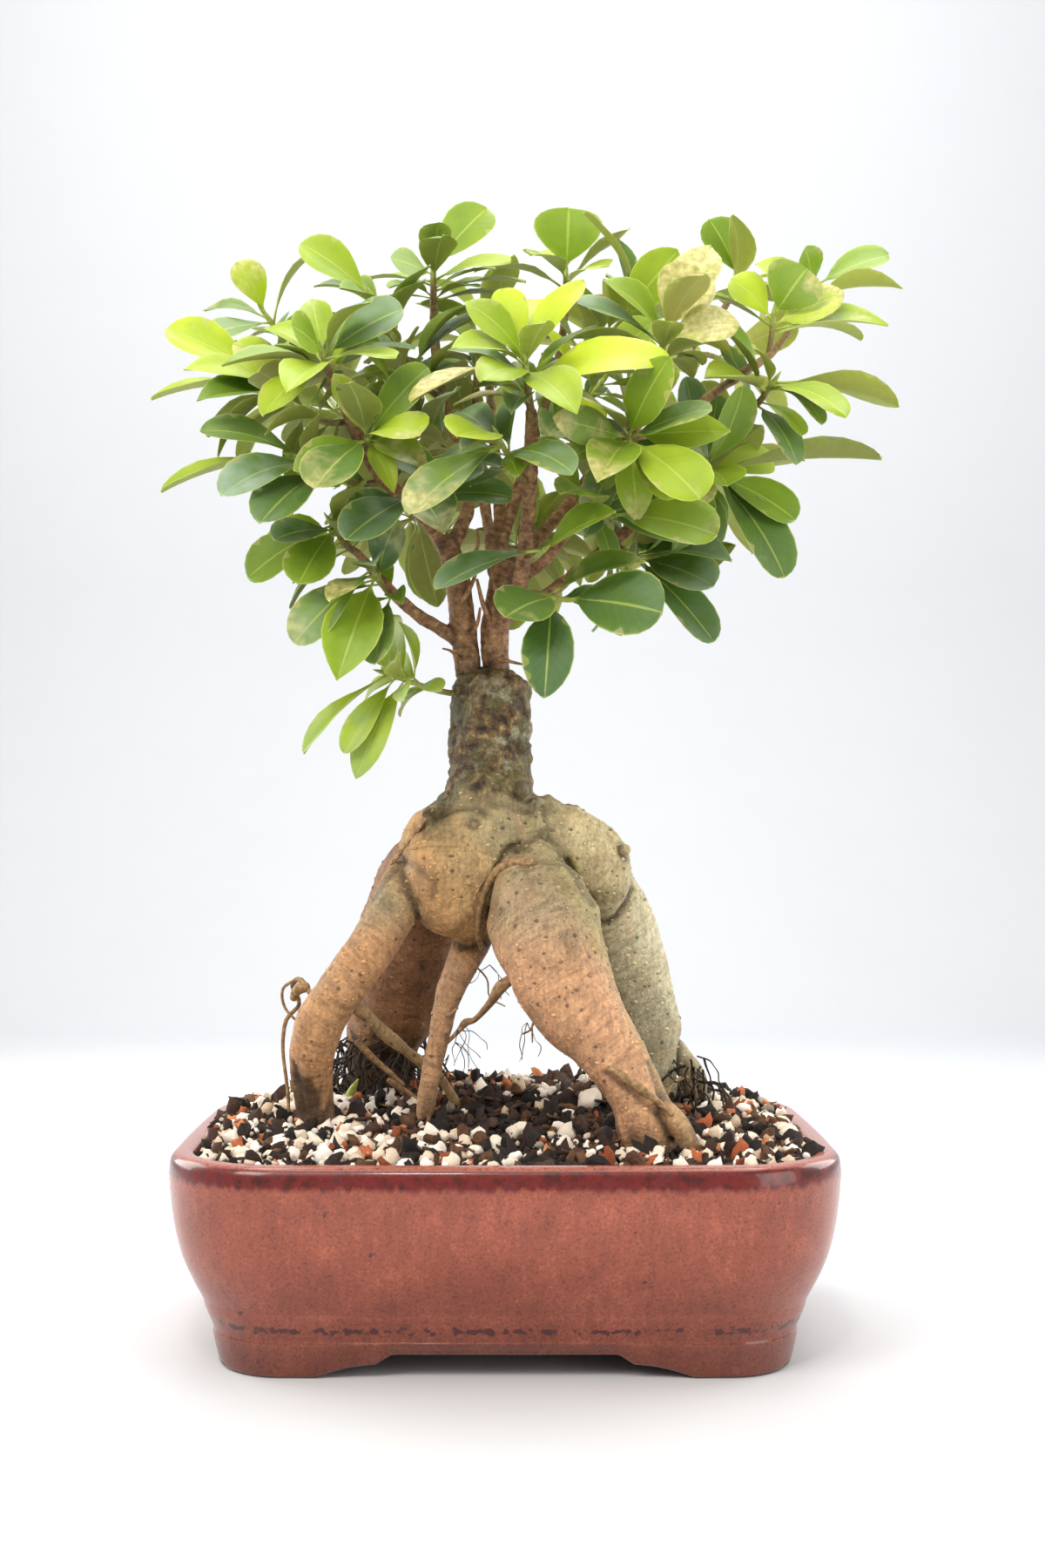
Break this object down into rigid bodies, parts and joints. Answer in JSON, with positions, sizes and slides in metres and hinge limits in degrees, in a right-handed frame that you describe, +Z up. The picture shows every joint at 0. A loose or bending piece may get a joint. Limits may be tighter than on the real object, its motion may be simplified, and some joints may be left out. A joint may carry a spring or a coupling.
{
  "type": "ficus ginseng bonsai",
  "caption": "Small ginseng fig bonsai with a swollen stilt-like rootstock, grafted leafy branches and an oblong red-brown glazed pot with scalloped feet.",
  "frame": {"origin": "middle of the bottom of the whole plant's box, on the surface that the pot stands on", "axes": "+Z up, +X along the pot's long side to the right as seen from the front, +Y from the front to the back"},
  "size_m": [0.2446, 0.1748, 0.3741],
  "materials": {
    "glazed_stoneware": "mottled red-brown satin glaze with a darker oxblood lip",
    "screen_plastic": "moulded black plastic mesh",
    "bonsai_grit": "loose mix of dark bark, white pumice, red lava and grey grit",
    "fig_root_bark": "smooth tan skin with lenticels, darker mossy bark on the trunk",
    "fig_branch_bark": "flaky reddish-brown bark",
    "fig_foliage": "leathery semi-gloss green leaves, lime at the tips"
  },
  "bodies": {
    "root": {"pot": "glazed_stoneware", "drain_screen_left": "screen_plastic", "drain_screen_right": "screen_plastic", "soil": "bonsai_grit", "rootstock": "fig_root_bark", "scion_left": "fig_branch_bark", "scion_right": "fig_branch_bark", "shoot_front_top": "fig_foliage", "shoot_left_front": "fig_foliage", "shoot_left_crown": "fig_foliage", "shoot_centre_crown": "fig_foliage", "shoot_right_front": "fig_foliage", "shoot_right_top": "fig_foliage", "shoot_right_far": "fig_foliage", "shoot_right_back_top": "fig_foliage", "shoot_right_outer": "fig_foliage", "shoot_left_outer": "fig_foliage", "shoot_left_high": "fig_foliage", "shoot_left_side": "fig_foliage", "shoot_left_mid_top": "fig_foliage", "shoot_left_low": "fig_foliage", "shoot_left_low_twig": "fig_foliage", "shoot_right_mid": "fig_foliage", "shoot_right_low": "fig_foliage", "shoot_right_low_front": "fig_foliage", "shoot_front_low": "fig_foliage", "shoot_left_centre": "fig_foliage", "shoot_left_centre_low": "fig_foliage", "shoot_front_mid": "fig_foliage", "shoot_right_centre": "fig_foliage", "shoot_right_centre_low": "fig_foliage", "shoot_right_inner": "fig_foliage", "shoot_left_inner": "fig_foliage", "shoot_centre_inner": "fig_foliage", "shoot_right_inner_top": "fig_foliage", "shoot_back_left_low": "fig_foliage", "shoot_back_left": "fig_foliage", "shoot_back_left_top": "fig_foliage", "shoot_back_crown": "fig_foliage", "shoot_back_middle": "fig_foliage", "shoot_back_low": "fig_foliage", "shoot_back_right_low": "fig_foliage", "shoot_back_right_top": "fig_foliage", "shoot_back_right": "fig_foliage", "shoot_right_rear_outer": "fig_foliage", "shoot_trunk_twig": "fig_foliage"}
  },
  "joints": []
}
